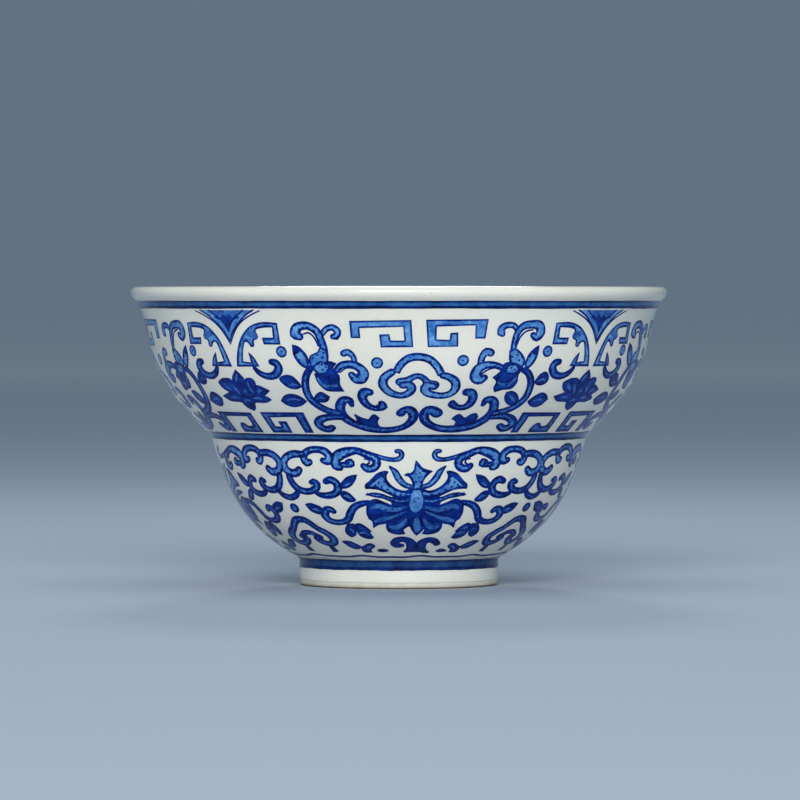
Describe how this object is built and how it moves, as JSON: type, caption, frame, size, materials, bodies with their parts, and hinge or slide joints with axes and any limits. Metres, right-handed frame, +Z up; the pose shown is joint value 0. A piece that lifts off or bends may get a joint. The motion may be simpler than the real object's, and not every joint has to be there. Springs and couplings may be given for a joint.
{
  "type": "teacup",
  "caption": "Handleless porcelain teacup with a stepped, waisted wall, flared mouth and everted lip on a turned foot ring, painted with blue scroll friezes between line bands.",
  "frame": {"origin": "middle of the foot, on the surface the cup stands on", "axes": "+Z up along the cup's axis; the cup is round, so X and Y are interchangeable"},
  "size_m": [0.09, 0.09, 0.05],
  "materials": {
    "porcelain": "fired white clay, unseen under the glaze",
    "bare_foot": "bare fired clay, matt, slightly warm",
    "glaze": "clear glossy glaze over white clay",
    "cobalt_line": "cobalt blue wash between dark lines, glossy",
    "cobalt_frieze": "blue and white brushwork taken as one colour, glossy"
  },
  "bodies": {
    "root": {"bowl_body": "porcelain", "foot_ring": "bare_foot", "glaze_coat": "glaze", "base_glaze": "glaze", "rim_line_cobalt": "cobalt_line", "waist_line_cobalt": "cobalt_line", "foot_line_cobalt": "cobalt_line", "upper_frieze_cobalt": "cobalt_frieze", "lower_frieze_cobalt": "cobalt_frieze"}
  },
  "joints": []
}
